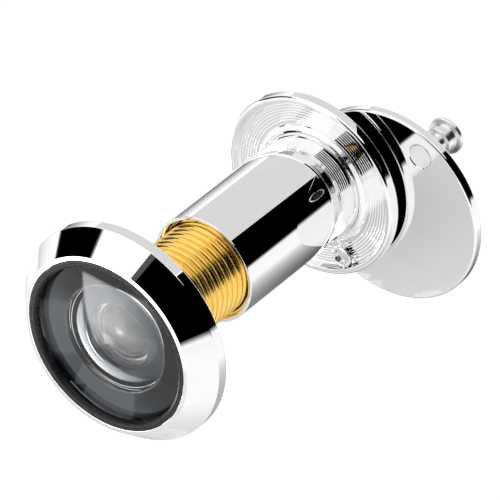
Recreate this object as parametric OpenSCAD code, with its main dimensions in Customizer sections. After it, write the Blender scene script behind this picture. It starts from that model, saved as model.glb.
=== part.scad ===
// Door viewer with a swinging privacy cover.
// +Y runs along the viewing axis from outdoors to indoors, +X is to the right as seen
// from outdoors and +Z is up. The origin is the centre of the outer flange's seat,
// the face that lies against the outside of the door.

/* [Door and sleeve] */
// Door thickness that the viewer is set to
door_t = 35.6; // [32:0.1:38]
// Outer diameter of the sleeve, which passes through the hole in the door
sleeve_d = 14; // [13.8:0.1:14.4]
// Distance from the sleeve's mouth to the inner seat
sleeve_reach = 21.3; // [20:0.1:22]

/* [Outer flange] */
// Diameter of the outer flange
flange_d = 28; // [27:0.5:32]
// Height of the outer flange over the door
flange_h = 4.5; // [4.5:0.1:5]
// Height of the flange's straight edge, below the bevel
flange_edge_h = 1.5; // [1:0.1:2]
// Diameter of the flat lip where the bevel starts
lip_d = 23.4; // [23:0.1:25]
// Outer diameter of the black lens bezel
bezel_d = 22.3; // [22.2:0.1:22.6]
// Diameter of the clear view inside the bezel
bezel_view_d = 20.4; // [20:0.1:20.8]

/* [Thread] */
// Major diameter of the barrel's thread
thread_d = 12; // [11.8:0.1:12]
// Thread pitch
pitch = 1; // [0.75:0.25:1]
// Length of the barrel behind the seat
barrel_len = 24; // [22:0.5:25]

/* [Inner flange] */
// Diameter of the inner flange
rear_d = 24; // [23.6:0.2:25]
// Thickness of the inner flange
rear_t = 1.7; // [1.6:0.1:2]
// Depth of the dished face behind the seat
dish_depth = 0.9; // [0.7:0.1:1]
// Number of fine turned grooves in the dished face
groove_count = 7; // [3:1:8]

/* [Cover] */
// Diameter of the privacy cover
cover_d = 25.4; // [24.6:0.1:26]
// Thickness of the privacy cover
cover_t = 1.3; // [1:0.1:1.6]
// Gap between the inner flange and the cover
cover_gap = 0.9; // [0.7:0.1:1.2]
// Distance of the pivot from the viewing axis
pivot_r = 9.7; // [9.55:0.05:9.8]
// Direction of the pivot around the axis, from +X towards +Z
pivot_angle = -61; // [-180:1:180]
// How far the cover is swung open
cover_open = 60; // [0:1:180]
// Distance of the knob from the cover's centre
knob_r = 9.8; // [9:0.1:10.4]
// Turn of the knob around the cover's centre, away from the line through the pivot
knob_turn = 4; // [-15:1:15]
// Length of the knob's post, from the cover's back to the collar
knob_post_h = 2.4; // [1.5:0.1:4]

/* [Hidden] */

$fn = 96;
eps = 0.01;            // overlap for clean cuts
slip = 0.05;           // radial running clearance and play between stacked parts
fit = 0.02;            // clearance between parts that are pressed or staked together
edge = 0.15;           // small edge chamfers

// Height of a spherical cap with radius R at a distance r from its axis
function sag(R, r) = R - sqrt(R * R - r * r);
// Radius of the sphere whose cap is h high at a distance r from its axis
function cap_radius(r, h) = (r * r + h * h) / (2 * h);

// Radii
flange_r = flange_d / 2;
lip_r = lip_d / 2;
bezel_r = bezel_d / 2;
view_r = bezel_view_d / 2;
sleeve_r = sleeve_d / 2;
crest_r = thread_d / 2;
root_r = crest_r - 0.54 * pitch;
bore_r = 4.8;          // bore of the barrel
stack_r = bore_r - slip;
rear_r = rear_d / 2;
cover_r = cover_d / 2;

// Depths inside the outer flange, measured along the axis from the seat
lip_y = -flange_h;
bezel_t = 1;
bezel_y = lip_y + bezel_t;
pocket_r = bezel_r - 0.25;
pocket_y = -1.1;       // floor of the lens pocket
head_r = 7.2;
head_t = 0.55;
head_y = pocket_y + head_t;

// Front lens
lens_r = pocket_r - slip;
lens_front_R = 45;     // radius of the domed front face
lens_hollow_r = 6.8;   // rim of the hollow in the back
lens_hollow_h = 2.5;
lens_crown_y = lip_y + 0.05;
lens_edge_y = -2.65;
lens_rim_y = -1.5;

// Optics in the barrel
inner_y = -1.05;       // crown of the inner lens
inner_R = 9;
inner_back_y = 1.2;
spacer_bore_r = 4.1;
relay_y = 7;           // where the front spacer meets the relay lens
relay_edge_t = 0.8;
relay_R = 10;
relay_apex_y = relay_y - sag(relay_R, spacer_bore_r);
relay_t = relay_edge_t + 2 * sag(relay_R, stack_r);
relay_back_y = relay_apex_y + relay_t - sag(relay_R, spacer_bore_r);
field_y = 21;
field_t = 1.6;
field_R = 14;
retainer_y = field_y + field_t - sag(field_R, spacer_bore_r);

// Sleeve and eyepiece
mouth_y = door_t - sleeve_reach;
rear_back_y = door_t + rear_t;
thread_bore_r = crest_r + slip;
step_y = rear_back_y - 4;       // shoulder between the barrel's bore and the eyepiece
seat_y = step_y + 0.7;
eyepiece_bore_r = 5.9;
spigot_r = 6.6;
spigot_y = door_t + dish_depth;
eye_y = seat_y + 0.8;
eye_t = 1.4;
eye_crown_h = 0.6;
eye_ring_y = eye_y + eye_t;

// Collar and dished face of the inner flange
collar_r = sleeve_r + 1;
groove_pitch = 0.36;
groove_depth = 0.12;
groove_r0 = 8.45;
rim_inner_r = rear_r - 0.7;
web_y = door_t + dish_depth;

// Cover and pivot
cover_y = rear_back_y + cover_gap;
cover_back_y = cover_y + cover_t;
rivet_r = 1.4;
rivet_hole_r = 0.95;
knob_foot_r = 1.5;     // end of the knob, riveted flush with the cover's face
washer_t = 0.4;
pivot_x = pivot_r * cos(pivot_angle);
pivot_z = pivot_r * sin(pivot_angle);
// The closed cover is concentric with the viewer; opening turns it clockwise, seen
// from outdoors, about the pivot.
cover_dir = pivot_angle + 180 - cover_open;
cover_x = pivot_x + pivot_r * cos(cover_dir);
cover_z = pivot_z + pivot_r * sin(cover_dir);
knob_x = cover_x + knob_r * cos(cover_dir + knob_turn);
knob_z = cover_z + knob_r * sin(cover_dir + knob_turn);

// Colours
CHROME = [0.86, 0.87, 0.88];
BRASS = [0.93, 0.72, 0.25];
BLACK = [0.08, 0.08, 0.09];
GLASS = [0.75, 0.85, 0.92, 0.5];
NICKEL = [0.78, 0.77, 0.74];
RUBBER = [0.12, 0.12, 0.12];

// ---- helpers ----

// Solid of revolution about the viewing axis, from points [radius, y]
module turned(profile) {
    rotate([-90, 0, 0]) rotate_extrude() polygon(profile);
}

// Plain ring between two radii and two places on the axis
module ring(inner_r, outer_r, y0, y1) {
    turned([[inner_r, y0], [outer_r, y0], [outer_r, y1], [inner_r, y1]]);
}

// Full disc or rod along the axis
module rod(r, y0, y1) {
    translate([0, y0, 0]) rotate([-90, 0, 0]) cylinder(r = r, h = y1 - y0);
}

// Ball whose surface passes through apex_y on the axis, with its centre behind it
// (R > 0) or in front of it (R < 0)
module cap_ball(R, apex_y) {
    translate([0, apex_y + R, 0]) sphere(r = abs(R), $fn = 180);
}

// Moves children from the axis to the pivot, to the cover's centre or to the knob
module at_pivot() translate([pivot_x, 0, pivot_z]) children();
module at_cover() translate([cover_x, 0, cover_z]) children();
module at_knob() translate([knob_x, 0, knob_z]) children();

// ---- outer unit ----

module outer_flange() {
    color(CHROME) turned([
        [crest_r + slip, 0], [flange_r - edge, 0], [flange_r, -edge],
        [flange_r, -flange_edge_h], [lip_r, lip_y], [bezel_r, lip_y],
        [bezel_r, bezel_y], [pocket_r, bezel_y], [pocket_r, pocket_y],
        [head_r + slip, pocket_y], [head_r + slip, head_y], [crest_r + slip, head_y]
    ]);
}

module lens_bezel() {
    color(BLACK) turned([
        [view_r, lip_y + 0.45], [view_r + 0.25, lip_y + 0.02],
        [bezel_r - slip, lip_y + 0.02], [bezel_r - slip, bezel_y - slip],
        [pocket_r - 0.6, bezel_y - slip], [view_r, bezel_y - 0.25]
    ]);
}

// Blackened cone behind the front lens; its hole frames the inner lens
module light_baffle() {
    hole_r = 4.6;
    color(BLACK) turned([
        [lens_r, lens_edge_y + 0.35], [lens_hollow_r, lens_rim_y + slip],
        [hole_r, lens_rim_y + 0.1], [hole_r, pocket_y - slip / 2],
        [lens_r, pocket_y - slip / 2]
    ]);
}

module lens_seal() {
    color(RUBBER) turned([
        [lens_r - 0.8, lens_edge_y + 0.28], [lens_r, lens_edge_y + 0.05],
        [lens_r, lens_edge_y + 0.3], [lens_r - 0.8, lens_edge_y + 0.5]
    ]);
}

module front_lens() {
    color(GLASS) difference() {
        intersection() {
            turned([
                [0, lip_y - 1], [lens_r, lip_y - 1], [lens_r, lens_edge_y],
                [lens_hollow_r, lens_rim_y], [0, lens_rim_y]
            ]);
            cap_ball(lens_front_R, lens_crown_y);
        }
        cap_ball(cap_radius(lens_hollow_r, lens_hollow_h), lens_rim_y - lens_hollow_h);
    }
}

// Ridges of the thread as rings, one for each pitch
module threaded_barrel() {
    lens_seat_r = 4.55;    // ledge that the inner lens is pushed against
    turns = floor((barrel_len - 2.2) / pitch);
    first = 0.9;
    ridges = [for (i = [0 : turns - 1])
        let (y = first + i * pitch)
        for (p = [[root_r, 0.10], [crest_r, 0.42], [crest_r, 0.58], [root_r, 0.90]])
            [p[0], y + p[1] * pitch]];
    color(BRASS) turned(concat(
        [[bore_r, 0.1], [lens_seat_r, 0.1], [lens_seat_r, pocket_y + 0.05],
         [head_r, pocket_y + 0.05],
         [head_r, head_y - 0.02], [crest_r, head_y - 0.02], [crest_r, 0.3],
         [root_r, 0.6]],
        ridges,
        [[root_r, barrel_len - 0.6], [root_r - 0.25, barrel_len], [bore_r, barrel_len]]
    ));
}

module inner_lens() {
    front_r = 4.5;
    hollow_r = 3.6;
    hollow_h = 1.5;
    color(GLASS) difference() {
        intersection() {
            union() {
                rod(front_r, inner_y - 0.2, inner_back_y);
                rod(stack_r, 0.15, inner_back_y);
            }
            cap_ball(inner_R, inner_y);
        }
        cap_ball(cap_radius(hollow_r, hollow_h), inner_back_y - hollow_h);
    }
}

module front_spacer() {
    color(BLACK) ring(spacer_bore_r, stack_r, inner_back_y + slip, relay_y - slip);
}

module relay_lens() {
    color(GLASS) intersection() {
        rod(stack_r, relay_apex_y - 1, relay_apex_y + relay_t + 1);
        cap_ball(relay_R, relay_apex_y);
        cap_ball(-relay_R, relay_apex_y + relay_t);
    }
}

module rear_spacer() {
    color(BLACK) ring(spacer_bore_r, stack_r, relay_back_y + slip, field_y - slip);
}

module field_lens() {
    color(GLASS) intersection() {
        rod(stack_r, field_y, field_y + field_t);
        cap_ball(-field_R, field_y + field_t);
    }
}

// Ring with two slots for a spanner
module barrel_retainer() {
    slot_w = 0.8;
    color(BLACK) difference() {
        ring(spacer_bore_r, stack_r, retainer_y + slip, barrel_len - 0.1);
        translate([-bore_r, barrel_len - 0.6, -slot_w / 2]) cube([2 * bore_r, 1, slot_w]);
    }
}

// ---- eyepiece ----

module eyepiece_seal() {
    wire = 0.38;
    color(RUBBER) translate([0, seat_y + 0.4, 0]) rotate([-90, 0, 0])
        rotate_extrude() translate([eyepiece_bore_r - 0.5, 0]) circle(r = wire, $fn = 32);
}

module eyepiece_lens() {
    crown_r = 4.5;
    color(GLASS) union() {
        rod(eyepiece_bore_r - slip, eye_y, eye_y + eye_t);
        intersection() {
            rod(crown_r - 0.2, eye_y + eye_t / 2, eye_y + eye_t + 1);
            cap_ball(-cap_radius(crown_r, eye_crown_h), eye_y + eye_t + eye_crown_h);
        }
    }
}

// ---- sleeve unit ----

module sleeve() {
    step_r = 4.3;          // bore of the shoulder
    color(CHROME) turned([
        [sleeve_r - 0.45, mouth_y], [sleeve_r - edge, mouth_y], [sleeve_r, mouth_y + edge],
        [sleeve_r, spigot_y], [spigot_r, spigot_y], [spigot_r, rear_back_y],
        [eyepiece_bore_r, rear_back_y], [eyepiece_bore_r, seat_y], [step_r, seat_y],
        [step_r, step_y], [thread_bore_r, step_y], [thread_bore_r, mouth_y + 0.5]
    ]);
}

// Dished disc with a flat rim, fine grooves and a collar around the sleeve's root
module rear_flange() {
    grooves = [for (i = [0 : groove_count - 1])
        let (r = groove_r0 + (groove_count - 1 - i) * groove_pitch)
        for (p = [[0.28, 0], [0.14, groove_depth], [0, 0]])
            [r + p[0], web_y - 0.1 + p[1]]];
    color(CHROME) difference() {
        turned(concat(
            [[sleeve_r + fit, web_y - 0.3], [sleeve_r + fit, web_y + fit],
             [spigot_r + fit, web_y + fit], [spigot_r + fit, rear_back_y],
             [rear_r - 0.3, rear_back_y], [rear_r, rear_back_y - 0.3],
             [rear_r, door_t + 0.25], [rear_r - 0.25, door_t], [rim_inner_r + 0.1, door_t],
             [rim_inner_r, door_t + 0.2]],
            [[groove_r0 + groove_count * groove_pitch, web_y - 0.1]],
            grooves,
            [[collar_r, web_y - 0.15], [sleeve_r + 0.35, web_y - 0.55]]
        ));
        at_pivot() rod(rivet_r + fit, door_t - 1, rear_back_y + 1);
    }
}

// Slotted ring that holds the eyepiece lens from indoors
module eyepiece_retainer() {
    slot_w = 1.2;
    slot_len = 14;
    opening_r = 4.9;
    face_r = 5.2;
    outer_r = eyepiece_bore_r - fit;
    color(CHROME) difference() {
        turned([
            [opening_r, eye_ring_y + slip], [outer_r, eye_ring_y + slip],
            [outer_r, rear_back_y + 0.2], [face_r, rear_back_y + 0.3]
        ]);
        translate([-slot_len / 2, rear_back_y - 0.1, -slot_w / 2]) cube([slot_len, 1, slot_w]);
    }
}

module pivot_spacer() {
    wall = 0.7;
    color(NICKEL) at_pivot()
        ring(rivet_r + slip, rivet_r + slip + wall, rear_back_y + eps, cover_y - slip);
}

// Hollow rivet: rolled lip at the door side, flat head behind the cover
module pivot_rivet() {
    lip_front_y = door_t + 0.1;
    head_front_y = cover_back_y + washer_t;
    head_r = 2.3;
    head_t = 0.6;
    color(NICKEL) at_pivot() turned([
        [rivet_hole_r, lip_front_y + 0.15], [rivet_hole_r + 0.15, lip_front_y],
        [rivet_r, lip_front_y], [rivet_r, head_front_y], [head_r, head_front_y],
        [head_r, head_front_y + 0.35], [head_r - 0.3, head_front_y + head_t],
        [rivet_hole_r, head_front_y + head_t]
    ]);
}

// ---- cover unit ----

module privacy_cover() {
    round_e = 0.3;
    color(CHROME) difference() {
        at_cover() turned([
            [0, cover_y], [cover_r - round_e, cover_y], [cover_r, cover_y + round_e],
            [cover_r, cover_back_y - round_e], [cover_r - round_e, cover_back_y],
            [0, cover_back_y]
        ]);
        at_pivot() rod(rivet_r + slip, cover_y - 1, cover_back_y + 1);
        at_knob() rod(knob_foot_r + fit, cover_y - 1, cover_back_y + 1);
    }
}

module cover_knob() {
    post_r = 1.2;
    fillet = 0.4;
    collar_knob_r = 1.75;
    collar_t = 1.4;
    cap_r = 2.35;
    cap_t = 0.6;
    foot_y = cover_back_y + fit;
    collar_y = cover_back_y + knob_post_h;
    cap_y = collar_y + collar_t + 0.1;
    color(CHROME) at_knob() turned([
        [0, cover_y], [knob_foot_r, cover_y], [knob_foot_r, foot_y], [post_r + fillet, foot_y],
        [post_r, cover_back_y + fillet], [post_r, collar_y - 0.2],
        [collar_knob_r, collar_y], [collar_knob_r, collar_y + collar_t],
        [cap_r, cap_y], [cap_r, cap_y + cap_t - 0.2],
        [cap_r - 0.2, cap_y + cap_t], [0, cap_y + cap_t]
    ]);
}

module spring_washer() {
    washer_r = 2.1;
    color(NICKEL) at_pivot()
        ring(rivet_r + slip, washer_r, cover_back_y + eps, cover_back_y + washer_t - eps);
}

outer_flange();
lens_bezel();
lens_seal();
front_lens();
light_baffle();
threaded_barrel();
inner_lens();
front_spacer();
relay_lens();
rear_spacer();
field_lens();
barrel_retainer();
eyepiece_seal();
eyepiece_lens();
sleeve();
rear_flange();
eyepiece_retainer();
pivot_spacer();
pivot_rivet();
privacy_cover();
cover_knob();
spring_washer();
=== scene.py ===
"""Door viewer with a swinging privacy cover, in a plain white studio."""
import math

import bpy
import numpy as np
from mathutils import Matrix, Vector


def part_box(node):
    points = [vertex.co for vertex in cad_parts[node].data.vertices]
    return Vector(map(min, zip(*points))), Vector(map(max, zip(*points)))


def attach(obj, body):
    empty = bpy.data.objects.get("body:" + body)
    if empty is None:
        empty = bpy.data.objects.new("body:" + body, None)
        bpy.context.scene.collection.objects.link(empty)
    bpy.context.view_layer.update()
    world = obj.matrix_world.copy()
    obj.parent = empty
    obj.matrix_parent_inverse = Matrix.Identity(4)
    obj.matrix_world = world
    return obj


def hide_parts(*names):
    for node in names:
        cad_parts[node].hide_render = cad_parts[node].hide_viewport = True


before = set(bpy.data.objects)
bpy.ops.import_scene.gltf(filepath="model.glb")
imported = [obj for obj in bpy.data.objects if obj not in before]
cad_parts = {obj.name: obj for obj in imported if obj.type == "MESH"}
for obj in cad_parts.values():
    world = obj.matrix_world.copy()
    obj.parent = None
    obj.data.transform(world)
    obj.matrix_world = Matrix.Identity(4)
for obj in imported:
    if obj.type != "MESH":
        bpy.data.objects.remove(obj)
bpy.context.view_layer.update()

MM = 0.001
TURN = 2 * math.pi


# ---------------------------------------------------------------- sizes, in mm, from the frame

def spans(node):
    """Lowest and highest corner of a CAD node, in mm."""
    low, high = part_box(node)
    return low / MM, high / MM


def middle(node):
    """Centre of a CAD node across the viewing axis, in mm."""
    low, high = spans(node)
    return (low.x + high.x) / 2, (low.z + high.z) / 2


flange_low, flange_high = spans("outer_flange")
FLANGE_R = flange_high.x
LIP_Y = flange_low.y
sleeve_low, sleeve_high = spans("sleeve")
SLEEVE_R = sleeve_high.x
MOUTH_Y = sleeve_low.y
rear_low, rear_high = spans("rear_flange")
REAR_R = rear_high.x
RIM_Y = rear_low.y
REAR_BACK_Y = rear_high.y
cover_low, cover_high = spans("privacy_cover")
COVER_AT = middle("privacy_cover")
COVER_R = (cover_high.x - cover_low.x) / 2
COVER_Y, COVER_BACK_Y = cover_low.y, cover_high.y
KNOB_AT = middle("cover_knob")
KNOB_END_Y = spans("cover_knob")[1].y
BARREL_END_Y = spans("threaded_barrel")[1].y
PIVOT_AT = middle("pivot_rivet")
RIVET_Y, RIVET_END_Y = (corner.y for corner in spans("pivot_rivet"))
BEZEL_R = spans("lens_bezel")[1].x
LENS_R = spans("front_lens")[1].x
LENS_CROWN_Y = spans("front_lens")[0].y
INNER_CROWN_Y = spans("inner_lens")[0].y
EYE_Y, EYE_CROWN_Y = (corner.y for corner in spans("eyepiece_lens"))


# ---------------------------------------------------------------- objects

def add_object(name, verts, faces):
    """Object in the scene whose mesh has these points, in metres, and faces."""
    data = bpy.data.meshes.new(name)
    data.from_pydata(verts, [], faces)
    obj = bpy.data.objects.new(name, data)
    bpy.context.scene.collection.objects.link(obj)
    return obj


def add_layer(obj, name, kind, domain, values):
    """Attribute of a mesh with one value for each face or point."""
    layer = obj.data.attributes.new(name, kind, domain)
    layer.data.foreach_set("value", values)


# ---------------------------------------------------------------- shapes turned about an axis

# Fillet of an outline's point where its two sides are shaded as one smooth surface.
SMOOTH = -1.0


def unit(v):
    return v / max(np.linalg.norm(v), 1e-12)


def stations(outline, closed):
    """Points along an outline of (r, y, fillet), fillets turned to arcs, each with the
    outward normal of the surface before it and after it."""
    area = sum(a[0] * b[1] - b[0] * a[1] for a, b in zip(outline, outline[1:] + outline[:1]))
    points = list(outline) if area > 0 else list(outline)[::-1]
    result = []
    last = len(points) - 1
    for i, (r, y, fillet) in enumerate(points):
        p = np.array((r, y), float)
        before = after = None
        if closed or i > 0:
            before = unit(p - np.array(points[i - 1][:2]))
        if closed or i < last:
            after = unit(np.array(points[(i + 1) % len(points)][:2]) - p)
        before = after if before is None else before
        after = before if after is None else after
        n1 = np.array((before[1], -before[0]))
        n2 = np.array((after[1], -after[0]))
        turn = math.atan2(before[0] * after[1] - before[1] * after[0], before @ after)
        if fillet < 0:
            n = unit(n1 + n2)
            result.append((p, n, n))
        elif fillet == 0 or abs(turn) < 0.01:
            result.append((p, n1, n2))
        else:
            side = math.copysign(1, turn)
            start = p - before * fillet * math.tan(abs(turn) / 2)
            centre = start - n1 * fillet * side
            count = max(2, math.ceil(abs(turn) / math.radians(11)))
            for k in range(count + 1):
                c, s = math.cos(turn * k / count), math.sin(turn * k / count)
                n = np.array((c * n1[0] - s * n1[1], s * n1[0] + c * n1[1]))
                result.append((centre + n * fillet * side, n, n))
    return result


def arc(ball_r, apex_y, r0, r1, count):
    """Points of a dome from radius r0 to r1; a negative ball_r bulges towards +Y."""
    result = []
    for r in np.linspace(r0, r1, count):
        sag = abs(ball_r) - math.sqrt(ball_r ** 2 - r ** 2)
        result.append((float(r), apex_y + math.copysign(sag, ball_r), SMOOTH))
    return result


class Shell:
    """Vertices, faces and corner normals of a piece, in mm, before it becomes a mesh."""

    def __init__(self):
        self.verts, self.faces, self.normals, self.strips = [], [], [], []
        self.table = []

    def lathe(self, outline, at=(0, 0), steps=192, closed=True):
        """Faces of an outline turned about the Y axis through at."""
        rows = stations(outline, closed)
        angles = [TURN * k / steps for k in range(steps)]
        rings = []
        for p, _, _ in rows:
            base = len(self.verts)
            if p[0] < 1e-6:
                self.verts.append((at[0], p[1], at[1]))
                rings.append([base] * steps)
            else:
                self.verts += [(at[0] + p[0] * math.cos(a), p[1], at[1] + p[0] * math.sin(a))
                               for a in angles]
                rings.append(list(range(base, base + steps)))
        count = len(rows) if closed else len(rows) - 1
        for i in range(count):
            j = (i + 1) % len(rows)
            if rows[i][0][0] < 1e-6 and rows[j][0][0] < 1e-6:
                continue
            if np.linalg.norm(rows[i][0] - rows[j][0]) < 1e-6:
                continue
            self.table.append((rows[i][0], rows[j][0], rows[i][2], rows[j][1], at))
            strip = len(self.table)
            for k in range(steps):
                m = (k + 1) % steps
                corners = [(rings[i][k], k, rows[i][2]), (rings[j][k], k, rows[j][1]),
                           (rings[j][m], m, rows[j][1]), (rings[i][m], m, rows[i][2])]
                if rings[i][k] == rings[i][m]:
                    corners = [corners[0], corners[1], corners[2]]
                elif rings[j][k] == rings[j][m]:
                    corners = [corners[0], corners[1], corners[3]]
                self.faces.append([c[0] for c in corners])
                self.normals += [(n[0] * math.cos(angles[q]), n[1], n[0] * math.sin(angles[q]))
                                 for _, q, n in corners]
                self.strips.append(strip)
        return self

    def grid(self, points, inside=False):
        """Faces over rows of points whose columns close on themselves with a shift of
        whole rows; corner normals are left to Blender."""
        rows, columns, shift = len(points["at"]), len(points["at"][0]), points["shift"]
        base = len(self.verts)
        for row in points["at"]:
            self.verts += row
        for j in range(rows - 1):
            for k in range(columns):
                step = shift if k == columns - 1 else 0
                m = (k + 1) % columns
                if j + 1 + step >= rows:
                    continue
                ids = [base + j * columns + k, base + (j + 1) * columns + k,
                       base + (j + 1 + step) * columns + m, base + (j + step) * columns + m]
                spots = {tuple(np.round(self.verts[v], 6)) for v in ids}
                if len(spots) < 3:
                    continue
                self.faces.append(ids[::-1] if inside else ids)
                self.normals += [(0, 0, 0)] * 4
                self.strips.append(-1)
        return self

    def mesh(self, name, cutters=()):
        """Object of this shell, less its cutters, with its own corner normals."""
        obj = add_object(name, [Vector(v) * MM for v in self.verts], self.faces)
        add_layer(obj, "strip", "INT", "FACE", self.strips)
        if not cutters:
            self.dress(obj.data, self.normals)
            return obj
        for cutter in cutters:
            tool = obj.modifiers.new("cut", "BOOLEAN")
            tool.operation, tool.solver, tool.object = "DIFFERENCE", "EXACT", cutter
        depsgraph = bpy.context.evaluated_depsgraph_get()
        cut = bpy.data.meshes.new_from_object(obj.evaluated_get(depsgraph))
        obj.modifiers.clear()
        obj.data = cut
        cut.name = name
        for cutter in cutters:
            bpy.data.objects.remove(cutter)
        strips = cut.attributes["strip"].data
        normals = []
        for face in cut.polygons:
            strip = strips[face.index].value
            for v in face.vertices:
                spot = cut.vertices[v].co / MM
                normals.append(self.normal_at(strip, spot) if strip > 0 else face.normal[:])
        self.dress(cut, normals)
        return obj

    def normal_at(self, strip, spot):
        """Normal at a point of a turned strip, between those of the strip's two ends."""
        a, b, na, nb, at = self.table[strip - 1]
        x, z = spot.x - at[0], spot.z - at[1]
        r = math.hypot(x, z)
        along = b - a
        t = min(max(float((np.array((r, spot.y)) - a) @ along / (along @ along)), 0), 1)
        n = unit(na * (1 - t) + nb * t)
        if r < 1e-6:
            return (0.0, float(n[1]), 0.0)
        return (n[0] * x / r, n[1], n[0] * z / r)

    @staticmethod
    def dress(data, normals):
        """Sets the corner normals and drops the strip numbers, which are used up."""
        data.polygons.foreach_set("use_smooth", [True] * len(data.polygons))
        data.normals_split_custom_set([tuple(float(c) for c in n) for n in normals])
        data.attributes.remove(data.attributes["strip"])
        data.update()


def turned(name, outline, at=(0, 0), steps=192, cutters=()):
    return Shell().lathe(outline, at, steps).mesh(name, cutters)


def cutter(outline, at=(0, 0), steps=96):
    """Turned solid that is taken out of another; its faces carry strip 0."""
    shell = Shell().lathe(outline, at, steps)
    obj = add_object("cutter", [Vector(v) * MM for v in shell.verts], shell.faces)
    add_layer(obj, "strip", "INT", "FACE", [0] * len(shell.faces))
    return obj


def hole_cutter(radius, y0, y1, at):
    """Round hole from y0 to y1 that is taken out of another piece."""
    return cutter([(0, y0, 0), (radius, y0, 0), (radius, y1, 0), (0, y1, 0)], at)


def slot_cutter(low, high):
    """Box that is taken out of another piece."""
    corners = [Vector((x, y, z)) * MM
               for x in (low[0], high[0]) for y in (low[1], high[1]) for z in (low[2], high[2])]
    faces = [(0, 1, 3, 2), (4, 6, 7, 5), (0, 4, 5, 1), (2, 3, 7, 6), (0, 2, 6, 4), (1, 5, 7, 3)]
    obj = add_object("cutter", corners, faces)
    add_layer(obj, "strip", "INT", "FACE", [0] * len(faces))
    return obj


# A ridge's profile is half a sine raised to this power: below 1 its sides are fuller.
RIDGE_POWER = 0.8


def helix(root_r, crest_r, y0, y1, pitch, fade, columns=96, rows=12):
    """Points of a right-hand thread from y0 to y1; the ridge dies out over fade at both ends."""
    total = int(math.ceil((y1 - y0) / pitch) + 1) * rows
    points = []
    for j in range(-rows, total + 1):
        row = []
        for k in range(columns):
            y = y0 + pitch * (j / rows + k / columns)
            ridge = abs(math.sin(math.pi * j / rows)) ** RIDGE_POWER
            y = min(max(y, y0), y1)
            near = min((y - y0) / fade, (y1 - y) / fade, 1)
            r = root_r + (crest_r - root_r) * ridge * max(near, 0)
            a = TURN * k / columns
            row.append((r * math.cos(a), y, r * math.sin(a)))
        points.append(row)
    return {"at": points, "shift": rows}


def wave_washer(name, at, inner, outer, y0, y1, thick, waves, steps=96):
    """Thin ring whose height runs in waves between y0 and y1."""
    verts, faces = [], []
    for k in range(steps):
        a = TURN * k / steps
        lift = y0 + (y1 - y0 - thick) * (0.5 - 0.5 * math.cos(waves * a))
        for r, y in ((inner, lift), (outer, lift), (outer, lift + thick), (inner, lift + thick)):
            verts.append(Vector((at[0] + r * math.cos(a), y, at[1] + r * math.sin(a))) * MM)
    for k in range(steps):
        m = (k + 1) % steps
        for c in range(4):
            d = (c + 1) % 4
            faces.append((k * 4 + c, k * 4 + d, m * 4 + d, m * 4 + c))
    return add_object(name, verts, faces)


# ---------------------------------------------------------------- materials

def base_material(name):
    """New node material: itself, its nodes, its links and its shader."""
    made = bpy.data.materials.new(name)
    made.use_nodes = True
    return made, made.node_tree.nodes, made.node_tree.links, made.node_tree.nodes["Principled BSDF"]


def surface(name, low, high, rough, metallic=0.0, scale=900.0, stretch=(1, 1, 1), bump=0.0, depth=0.00001,
            bump_scale=6000.0, **sockets):
    """Principled material whose colour and roughness wander between two values over the
    surface, with a fine bump."""
    made, nodes, links, shader = base_material(name)
    place = nodes.new("ShaderNodeTexCoord")
    fit = nodes.new("ShaderNodeMapping")
    fit.inputs["Scale"].default_value = stretch
    links.new(place.outputs["Object"], fit.inputs["Vector"])
    cloud = nodes.new("ShaderNodeTexNoise")
    cloud.inputs["Scale"].default_value = scale
    cloud.inputs["Detail"].default_value = 5
    links.new(fit.outputs["Vector"], cloud.inputs["Vector"])
    ramp = nodes.new("ShaderNodeValToRGB")
    ramp.color_ramp.elements[0].position, ramp.color_ramp.elements[1].position = 0.3, 0.7
    ramp.color_ramp.elements[0].color = (*low, 1)
    ramp.color_ramp.elements[1].color = (*high, 1)
    links.new(cloud.outputs["Fac"], ramp.inputs["Fac"])
    links.new(ramp.outputs["Color"], shader.inputs["Base Color"])
    spread = nodes.new("ShaderNodeMapRange")
    spread.inputs["From Min"].default_value, spread.inputs["From Max"].default_value = 0.3, 0.7
    spread.inputs["To Min"].default_value, spread.inputs["To Max"].default_value = rough
    links.new(cloud.outputs["Fac"], spread.inputs["Value"])
    links.new(spread.outputs["Result"], shader.inputs["Roughness"])
    if bump:
        grain = nodes.new("ShaderNodeTexNoise")
        grain.inputs["Scale"].default_value = bump_scale
        links.new(fit.outputs["Vector"], grain.inputs["Vector"])
        relief = nodes.new("ShaderNodeBump")
        relief.inputs["Strength"].default_value = bump
        relief.inputs["Distance"].default_value = depth
        links.new(grain.outputs["Fac"], relief.inputs["Height"])
        links.new(relief.outputs["Normal"], shader.inputs["Normal"])
    shader.inputs["Metallic"].default_value = metallic
    for key, value in sockets.items():
        shader.inputs[key.replace("_", " ")].default_value = value
    return made


CHROME = surface("chrome", (0.90, 0.90, 0.905), (0.93, 0.93, 0.935), (0.015, 0.035), 1.0, 260.0,
                 bump=0.02, depth=0.000002, bump_scale=2500.0)
BRASS = surface("gold_brass", (1.0, 0.60, 0.12), (1.0, 0.71, 0.20), (0.16, 0.24), 1.0, 500.0,
                (1, 9, 1), bump=0.15, depth=0.00001, bump_scale=2500.0)
BEZEL = surface("satin_black", (0.008, 0.008, 0.010), (0.014, 0.014, 0.016), (0.22, 0.32), 0.0, 900.0,
                bump=0.05, Specular_IOR_Level=0.25)
BAFFLE = surface("blackened_metal", (0.050, 0.058, 0.070), (0.060, 0.068, 0.080), (0.30, 0.38), 1.0, 700.0,
                 (1, 6, 1), bump=0.05)
SPACER = surface("matt_black", (0.03, 0.03, 0.032), (0.045, 0.045, 0.048), (0.45, 0.6), 0.0, 900.0, bump=0.2)
GLASS = surface("optical_glass", (0.95, 0.97, 0.985), (0.96, 0.98, 0.99), (0.0, 0.0), 0.0, 300.0,
                Transmission_Weight=1.0, IOR=1.52)
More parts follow.
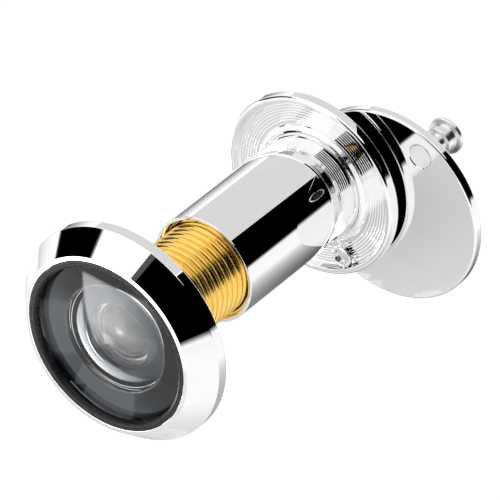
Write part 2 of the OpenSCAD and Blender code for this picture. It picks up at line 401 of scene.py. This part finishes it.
RUBBER = surface("seal_rubber", (0.02, 0.02, 0.02), (0.035, 0.035, 0.035), (0.6, 0.8), 0.0, 1200.0, bump=0.3)
NICKEL = surface("nickel", (0.84, 0.83, 0.81), (0.88, 0.87, 0.85), (0.06, 0.12), 1.0, 700.0, bump=0.04)
SATIN = surface("satin_steel", (0.55, 0.56, 0.58), (0.65, 0.66, 0.68), (0.30, 0.40), 1.0, 900.0, bump=0.05)
SOFT_CHROME = surface("soft_chrome", (0.90, 0.90, 0.905), (0.93, 0.93, 0.935), (0.20, 0.26), 1.0, 260.0,
                      bump=0.02, depth=0.000002, bump_scale=2500.0)
SPRING = surface("spring_steel", (0.50, 0.50, 0.52), (0.62, 0.62, 0.63), (0.18, 0.3), 1.0, 900.0,
                 (1, 1, 8), bump=0.1)


def fit_out(obj, node, body, slot, *materials):
    """Puts a piece in place of its CAD node."""
    for made in materials:
        obj.data.materials.append(made)
    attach(obj, body)
    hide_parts(node)
    return obj


# ---------------------------------------------------------------- camera

LOOK_AT = Vector((0, 0.0237, -0.0025))
AZIMUTH, ELEVATION, DISTANCE = math.radians(36.1), math.radians(35.2), 0.710
# From the object towards the camera.
BACK = Vector((math.sin(AZIMUTH) * math.cos(ELEVATION),
               -math.cos(AZIMUTH) * math.cos(ELEVATION),
               math.sin(ELEVATION)))
camera_data = bpy.data.cameras.new("camera")
camera_data.lens, camera_data.sensor_width = 432, 36
camera_data.clip_end = 20
camera = bpy.data.objects.new("camera", camera_data)
bpy.context.scene.collection.objects.link(camera)
camera.location = LOOK_AT + BACK * DISTANCE
camera.rotation_mode = "QUATERNION"
camera.rotation_quaternion = (-BACK).to_track_quat("-Z", "Y")
bpy.context.scene.camera = camera
bpy.context.scene.view_settings.view_transform = "Standard"


# ---------------------------------------------------------------- studio

world = bpy.data.worlds.new("studio")
world.use_nodes = True
world.node_tree.nodes["Background"].inputs["Color"].default_value = (1, 1, 1, 1)
world.node_tree.nodes["Background"].inputs["Strength"].default_value = 1.15
bpy.context.scene.world = world

FLOOR_Z, FLOOR_HALF = -0.06, 3
PANEL_Z = FLOOR_Z + 0.002
floor = add_object("floor", [(x * FLOOR_HALF, y * FLOOR_HALF, FLOOR_Z)
                             for x, y in ((-1, -1), (1, -1), (1, 1), (-1, 1))], [(0, 1, 2, 3)])
floor.data.materials.append(surface("floor_paper", (0.94, 0.94, 0.94), (0.96, 0.96, 0.96), (0.7, 0.8),
                                    scale=40.0))


def stage_card(name, verts, faces, fade, grey):
    """Panel of one even brightness that is seen in reflections and through glass, and neither
    by the camera itself nor by matt surfaces. fade says how much of it shows at each vertex."""
    made, nodes, links, shader = base_material(name)
    nodes.remove(shader)
    glow = nodes.new("ShaderNodeEmission")
    glow.inputs["Color"].default_value = (1, 1, 1, 1)
    glow.inputs["Strength"].default_value = grey
    clear = nodes.new("ShaderNodeBsdfTransparent")
    amount = nodes.new("ShaderNodeAttribute")
    amount.attribute_name = "fade"
    blend = nodes.new("ShaderNodeMixShader")
    links.new(amount.outputs["Fac"], blend.inputs[0])
    links.new(clear.outputs[0], blend.inputs[1])
    links.new(glow.outputs[0], blend.inputs[2])
    links.new(blend.outputs[0], nodes["Material Output"].inputs["Surface"])
    obj = add_object(name, verts, faces)
    add_layer(obj, "fade", "FLOAT", "POINT", fade)
    obj.data.materials.append(made)
    obj.visible_camera = obj.visible_diffuse = obj.visible_shadow = False
    return obj


def whole(u, v):
    """Shade of a card that shows all over, with hard edges."""
    return 1


def rise(t, width):
    """0 at t = 0, rising evenly to 1 at width, and 1 from there on."""
    return min(t / width, 1)


CARD_CENTRE = Vector((0, 0.02, 0))


def card(name, az, el, radius, grey, shade=whole, centre=CARD_CENTRE):
    """Part of a sphere round centre, a stage card. az runs from +Y towards +X and el up, in
    degrees; el may be two (low, high) pairs, for the two ends of az. shade(u, v)
    says how much of the card shows, with u and v from 0 to 1 along az and el."""
    columns, rows = 48, 32
    ends = el if isinstance(el[0], tuple) else (el, el)
    verts, fade = [], []
    for i in range(columns + 1):
        u = i / columns
        a = math.radians(az[0] + (az[1] - az[0]) * u)
        low = ends[0][0] + (ends[1][0] - ends[0][0]) * u
        high = ends[0][1] + (ends[1][1] - ends[0][1]) * u
        for j in range(rows + 1):
            v = j / rows
            e = math.radians(low + (high - low) * v)
            out = Vector((math.sin(a) * math.cos(e), math.cos(a) * math.cos(e), math.sin(e)))
            verts.append(centre + radius * out)
            fade.append(shade(u, v))
    faces = []
    for i in range(columns):
        here, there = i * (rows + 1), (i + 1) * (rows + 1)
        faces += [(here + j, there + j, there + j + 1, here + j + 1) for j in range(rows)]
    return stage_card(name, verts, faces, fade, grey)


def floor_panel(name, x, y, radius, grey, weight):
    """Round panel just over the floor, at x and y in mm, fading out evenly towards its edge.
    weight is how much of it shows in the middle."""
    steps, rings = 64, 16
    verts, fade = [(x * MM, y * MM, PANEL_Z)], [weight]
    for i in range(1, rings + 1):
        for k in range(steps):
            a = TURN * k / steps
            r = radius * i / rings
            verts.append(((x + r * math.cos(a)) * MM, (y + r * math.sin(a)) * MM, PANEL_Z))
            fade.append(weight * (1 - i / rings))
    faces = [(0, 1 + k, 1 + (k + 1) % steps) for k in range(steps)]
    for i in range(rings - 1):
        inner, outer = 1 + i * steps, 1 + (i + 1) * steps
        for k in range(steps):
            m = (k + 1) % steps
            faces.append((inner + k, outer + k, outer + m, inner + m))
    return stage_card(name, verts, faces, fade, grey)


BLACK = 0.0
ROOM_R, NEAR_R = 1.2, 0.2
card("dark_wall", (30, 172), ((-4, 42), (-1, 62)), ROOM_R, BLACK, lambda u, v: rise(v, 0.08))
card("grey_ceiling", (-70, 30), (15, 65), ROOM_R, 0.75, lambda u, v: rise(u, 0.2))
card("grey_wall", (172, 181), (20, 66), ROOM_R, 0.09)
card("side_card", (-120, -80), (3, 41), ROOM_R, BLACK,
     lambda u, v: rise(2 * min(u, 1 - u, v, 1 - v), 0.08))

LENS_AT = Vector((0, LIP_Y, 0)) * MM
LENS_CARD_R = 0.095
card("soft_light", (-136, -170), (-38, -13), LENS_CARD_R, 7.5,
     lambda u, v: rise(u, 0.04) * rise(1 - u, 0.7) * rise(v, 0.4) * rise(1 - v, 0.05), LENS_AT)
card("window", (-101, -91), (-40, -29), LENS_CARD_R, 12.0, centre=LENS_AT)

floor_panel("panel_behind", 0, 90, 110, BLACK, 1.0)
card("low_wall", (-90, 0), (-16, 14), NEAR_R, BLACK,
     lambda u, v: 0.9 * (1 - v) * rise(u, 0.25) * rise(1 - u, 0.25))
floor_panel("panel_front", -40, -30, 60, BLACK, 0.5)


# ---------------------------------------------------------------- outer unit

SEAT_Y = 0.0
BEVEL_Y = SEAT_Y - 1.5
LIP_R = FLANGE_R - 2.3
BORE_R = 6.05
POCKET_R, POCKET_Y, LENS_REST_Y = 7.25, -0.55, -1.1
BEZEL_HOLE_R, LENS_HOLE_R = BEZEL_R + 0.05, LENS_R + 0.05
fit_out(turned("flange_outer", [
    (BORE_R, SEAT_Y, 0), (FLANGE_R, SEAT_Y, 0.2), (FLANGE_R, BEVEL_Y, 0.12), (LIP_R, LIP_Y, 0.1),
    (BEZEL_HOLE_R, LIP_Y, 0.06), (BEZEL_HOLE_R, LIP_Y + 1, 0), (LENS_HOLE_R, LIP_Y + 1, 0),
    (LENS_HOLE_R, LENS_REST_Y, 0), (POCKET_R, LENS_REST_Y, 0), (POCKET_R, POCKET_Y, 0),
    (BORE_R, POCKET_Y, 0)], steps=256),
    "outer_flange", "outer_unit", "chrome", CHROME)

VIEW_R = 10.2
fit_out(turned("bezel", [
    (VIEW_R, LIP_Y + 0.5, 0), (VIEW_R + 0.12, LIP_Y + 0.2, 0.1), (VIEW_R + 0.36, LIP_Y + 0.04, 0.1),
    (VIEW_R + 0.52, LIP_Y + 0.03, 0.02), (VIEW_R + 0.57, LIP_Y + 0.09, 0.02),
    (VIEW_R + 0.62, LIP_Y + 0.03, 0.02), (BEZEL_R, LIP_Y + 0.02, 0.1), (BEZEL_R, LIP_Y + 0.95, 0),
    (LENS_R - 0.55, LIP_Y + 0.95, 0), (VIEW_R, LIP_Y + 0.75, 0)], steps=256),
    "lens_bezel", "outer_unit", "black_bezel", BEZEL)

LENS_BALL, LENS_EDGE_Y, LENS_BACK_Y = 45, -2.65, -1.5
HOLLOW_R, HOLLOW_H = 6.8, 2.5
HOLLOW_BALL = (HOLLOW_R ** 2 + HOLLOW_H ** 2) / (2 * HOLLOW_H)
fit_out(turned("lens_front",
               arc(LENS_BALL, LENS_CROWN_Y, 0, LENS_R, 40)
               + [(LENS_R, LENS_EDGE_Y, 0), (HOLLOW_R + 0.12, LENS_BACK_Y - 0.03, 0.05)]
               + arc(HOLLOW_BALL, LENS_BACK_Y - HOLLOW_H, HOLLOW_R, 0, 40), steps=192),
        "front_lens", "outer_unit", "lens_glass", GLASS)

BAFFLE_HOLE_R, BAFFLE_RIM_Y, BAFFLE_BACK_Y = 4.6, -2.3, -1.13
fit_out(turned("baffle", [
    (LENS_R, BAFFLE_RIM_Y, 0), (HOLLOW_R + 0.3, -1.55, 0.1), (HOLLOW_R - 0.2, -1.42, 0.1),
    (BAFFLE_HOLE_R + 0.1, -1.4, 0.08), (BAFFLE_HOLE_R, -1.2, 0), (BAFFLE_HOLE_R, BAFFLE_BACK_Y, 0),
    (LENS_R, BAFFLE_BACK_Y, 0)]),
    "light_baffle", "outer_unit", "baffle_black", BAFFLE)

INNER_R, INNER_CROWN_BALL, INNER_CROWN_R, INNER_EDGE_Y, INNER_BACK_Y = 4.74, 9, 4.5, 0.18, 1.2
INNER_HOLLOW_R, INNER_HOLLOW_H = 3.6, 1.5
INNER_BALL = (INNER_HOLLOW_R ** 2 + INNER_HOLLOW_H ** 2) / (2 * INNER_HOLLOW_H)
fit_out(turned("lens_inner",
               arc(INNER_CROWN_BALL, INNER_CROWN_Y, 0, INNER_CROWN_R, 32)
               + [(INNER_R, INNER_EDGE_Y, 0), (INNER_R, INNER_BACK_Y, 0)]
               + arc(INNER_BALL, INNER_BACK_Y - INNER_HOLLOW_H, INNER_HOLLOW_R, 0, 32), steps=160),
        "inner_lens", "outer_unit", "lens_glass", GLASS)

THREAD_R, THREAD_ROOT_R, PITCH = 6.0, 5.46, 1.0
THREAD_Y, THREAD_END_Y = 0.5, BARREL_END_Y - 0.6
HEAD_R, HEAD_Y, HEAD_BACK_Y = 7.2, -1.05, -0.57
NECK_R, NECK_END_Y, TUBE_R = 4.55, 0.1, 4.8
barrel = Shell()
barrel.lathe([
    (THREAD_ROOT_R, THREAD_Y, 0), (THREAD_R, THREAD_Y - 0.3, 0), (THREAD_R, HEAD_BACK_Y, 0),
    (HEAD_R, HEAD_BACK_Y, 0), (HEAD_R, HEAD_Y, 0), (NECK_R, HEAD_Y, 0), (NECK_R, NECK_END_Y, 0),
    (TUBE_R, NECK_END_Y, 0), (TUBE_R, BARREL_END_Y, 0), (5.2, BARREL_END_Y, 0.05),
    (THREAD_ROOT_R, THREAD_END_Y, 0)], closed=False, steps=96)
barrel.grid(helix(THREAD_ROOT_R, THREAD_R, THREAD_Y, THREAD_END_Y, PITCH, 0.7))
barrel_piece = fit_out(barrel.mesh("barrel"), "threaded_barrel", "outer_unit", "brass_thread", BRASS, SATIN)
SATIN_INDEX = 1
for face in barrel_piece.data.polygons:
    corners = [barrel_piece.data.vertices[i].co for i in face.vertices]
    if all(math.hypot(corner.x, corner.z) < (TUBE_R + 0.1) * MM for corner in corners):
        face.material_index = SATIN_INDEX


# ---------------------------------------------------------------- eyepiece unit

EYE_RING_Y, EYE_R = EYE_Y + 1.4, 5.85
EYE_DOME_R, EYE_DOME_H = 4.5, 0.6
EYE_BALL = (EYE_DOME_R ** 2 + EYE_DOME_H ** 2) / (2 * EYE_DOME_H)
fit_out(turned("lens_eye",
               [(0, EYE_Y, 0), (EYE_R, EYE_Y, 0.08), (EYE_R, EYE_RING_Y, 0.08),
                (EYE_DOME_R + 0.05, EYE_RING_Y, 0)]
               + arc(-EYE_BALL, EYE_CROWN_Y, EYE_DOME_R - 0.2, 0, 24), steps=128),
        "eyepiece_lens", "eyepiece_unit", "lens_glass", GLASS)


# ---------------------------------------------------------------- sleeve unit

SPIGOT_Y, SPIGOT_R = RIM_Y + 0.9, 6.6
SLEEVE_BORE_R, SLEEVE_THREAD_R, SLEEVE_THREAD_Y = BORE_R + 0.1, BORE_R + 0.45, MOUTH_Y + 0.5
EYE_BORE_R, STEP_R, STEP_Y = 5.9, 4.3, REAR_BACK_Y - 4
EYE_SEAT_Y = STEP_Y + 0.7
sleeve = Shell()
sleeve.lathe([
    (SLEEVE_BORE_R, SLEEVE_THREAD_Y, 0), (SLEEVE_R - 0.42, MOUTH_Y, 0.08), (SLEEVE_R, MOUTH_Y, 0.16),
    (SLEEVE_R, SPIGOT_Y, 0), (SPIGOT_R, SPIGOT_Y, 0), (SPIGOT_R, REAR_BACK_Y, 0),
    (EYE_BORE_R, REAR_BACK_Y, 0.05), (EYE_BORE_R, EYE_SEAT_Y, 0), (STEP_R, EYE_SEAT_Y, 0),
    (STEP_R, STEP_Y, 0), (SLEEVE_BORE_R, STEP_Y, 0)], closed=False, steps=256)
sleeve.grid(helix(SLEEVE_BORE_R, SLEEVE_THREAD_R, SLEEVE_THREAD_Y, STEP_Y, PITCH, 0.4, 64, 8), inside=True)
fit_out(sleeve.mesh("sleeve_tube"), "sleeve", "sleeve_unit", "chrome", CHROME)

GROOVES, GROOVE_R, GROOVE_PITCH, GROOVE_DEPTH = 7, 8.45, 0.36, 0.035
WEB_Y = SPIGOT_Y - 0.1
COLLAR_R = SLEEVE_R + 1
grooves = []
for i in reversed(range(GROOVES)):
    r = GROOVE_R + i * GROOVE_PITCH
    grooves += [(r + 0.18, WEB_Y, 0.02), (r + 0.09, WEB_Y + GROOVE_DEPTH, 0.02), (r, WEB_Y, 0.02)]
FIT_GAP, PRESS_FIT = 0.02, 0.02
RIVET_R, PIVOT_HOLE_R = 1.4, 1.45
rivet_hole = hole_cutter(RIVET_R - PRESS_FIT, RIM_Y - 1, REAR_BACK_Y + 1, PIVOT_AT)
fit_out(turned("flange_rear", [
    (SPIGOT_R + FIT_GAP, SPIGOT_Y + FIT_GAP, 0), (SPIGOT_R + FIT_GAP, REAR_BACK_Y, 0),
    (REAR_R, REAR_BACK_Y, 0.35), (REAR_R, RIM_Y, 0.45), (REAR_R - 0.8, RIM_Y, 0.2),
    (REAR_R - 1.0, WEB_Y, 0.1)]
    + grooves + [
    (COLLAR_R, WEB_Y, 0.1), (COLLAR_R - 0.1, WEB_Y - 0.2, 0.08), (SLEEVE_R + 0.35, WEB_Y - 0.45, 0.2),
    (SLEEVE_R + FIT_GAP, WEB_Y - 0.3, 0.05), (SLEEVE_R + FIT_GAP, SPIGOT_Y + FIT_GAP, 0)],
    steps=256, cutters=[rivet_hole]),
    "rear_flange", "sleeve_unit", "chrome", CHROME)

SLOT_HALF, SLOT_R0, SLOT_R1 = 0.6, 4, 7
RETAINER_HOLE_R, RETAINER_R = 4.9, 5.88
slots = [slot_cutter((x0, REAR_BACK_Y - 0.1, -SLOT_HALF), (x1, REAR_BACK_Y + 1, SLOT_HALF))
         for x0, x1 in ((SLOT_R0, SLOT_R1), (-SLOT_R1, -SLOT_R0))]
fit_out(turned("retainer", [
    (RETAINER_HOLE_R, EYE_RING_Y + 0.05, 0), (RETAINER_R, EYE_RING_Y + 0.05, 0),
    (RETAINER_R, REAR_BACK_Y + 0.2, 0.08), (5.25, REAR_BACK_Y + 0.3, 0.1),
    (RETAINER_HOLE_R, REAR_BACK_Y - 0.1, 0.05)], steps=160, cutters=slots),
    "eyepiece_retainer", "sleeve_unit", "chrome", CHROME)

SPACER_R, SPACER_END_Y = 2.15, COVER_Y - 0.05
fit_out(turned("spacer_pivot", [
    (PIVOT_HOLE_R, REAR_BACK_Y, 0), (SPACER_R, REAR_BACK_Y, 0.1), (SPACER_R, SPACER_END_Y, 0.1),
    (PIVOT_HOLE_R, SPACER_END_Y, 0)],
    PIVOT_AT, 96),
    "pivot_spacer", "sleeve_unit", "nickel", NICKEL)

RIVET_HOLE_R, RIVET_HEAD_R, RIVET_HEAD_Y = 0.95, 2.3, RIVET_END_Y - 0.6
fit_out(turned("rivet", [
    (0, RIVET_Y + 0.55, 0), (RIVET_HOLE_R, RIVET_Y + 0.5, 0.1), (RIVET_HOLE_R, RIVET_Y, 0.2),
    (RIVET_R, RIVET_Y, 0.2), (RIVET_R, RIVET_HEAD_Y, 0), (RIVET_HEAD_R, RIVET_HEAD_Y, 0.1),
    (RIVET_HEAD_R, RIVET_END_Y, 0.35),
    (RIVET_HOLE_R, RIVET_END_Y, 0.15), (RIVET_HOLE_R, RIVET_END_Y - 0.8, 0.1), (0, RIVET_END_Y - 0.8, 0)],
    PIVOT_AT, 96),
    "pivot_rivet", "sleeve_unit", "nickel", NICKEL)


# ---------------------------------------------------------------- cover unit

FOOT_R = 1.5
CUT_Y, CUT_END_Y = COVER_Y - 0.5, COVER_BACK_Y + 0.5
holes = [
    cutter([(0, CUT_Y, 0), (FOOT_R + 0.64, CUT_Y, 0), (FOOT_R + FIT_GAP, COVER_Y + 0.12, 0),
            (FOOT_R + FIT_GAP, CUT_END_Y, 0), (0, CUT_END_Y, 0)], KNOB_AT),
    hole_cutter(PIVOT_HOLE_R, CUT_Y, CUT_END_Y, PIVOT_AT)]
fit_out(turned("cover", [
    (0, COVER_Y, 0), (COVER_R, COVER_Y, 0.3), (COVER_R, COVER_BACK_Y, 0.3), (0, COVER_BACK_Y, 0)],
    COVER_AT, 256, holes),
    "privacy_cover", "cover_unit", "chrome", CHROME)

POST_R, KNOB_COLLAR_R, CAP_R = 1.2, 1.75, 2.35
CAP_Y = KNOB_END_Y - 0.6
COLLAR_Y = CAP_Y - 1.5
fit_out(turned("knob", [
    (0, COVER_Y + 0.01, 0), (FOOT_R, COVER_Y + 0.01, 0.08), (FOOT_R, COVER_BACK_Y + 0.02, 0),
    (POST_R + 0.5, COVER_BACK_Y + 0.02, 0), (POST_R, COVER_BACK_Y + 0.35, 0.3),
    (POST_R, COLLAR_Y - 0.1, 0.12), (KNOB_COLLAR_R, COLLAR_Y, 0.15), (KNOB_COLLAR_R, COLLAR_Y + 1.35, 0.08),
    (CAP_R, CAP_Y, 0.15), (CAP_R, KNOB_END_Y, 0.25), (0, KNOB_END_Y, 0)],
    KNOB_AT, 128),
    "cover_knob", "cover_unit", "chrome", SOFT_CHROME)

WASHER_R, WASHER_THICK, WAVES = 2.1, 0.15, 3
fit_out(wave_washer("washer_wave", PIVOT_AT, PIVOT_HOLE_R, WASHER_R, COVER_BACK_Y, RIVET_HEAD_Y,
                    WASHER_THICK, WAVES),
        "spring_washer", "cover_unit", "spring_steel", SPRING)


# ---------------------------------------------------------------- CAD nodes that stay

for node, made in {"lens_seal": RUBBER, "front_spacer": SATIN, "relay_lens": GLASS, "rear_spacer": SPACER,
                   "field_lens": GLASS, "barrel_retainer": SPACER, "eyepiece_seal": RUBBER}.items():
    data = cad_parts[node].data
    data.materials.clear()
    data.materials.append(made)
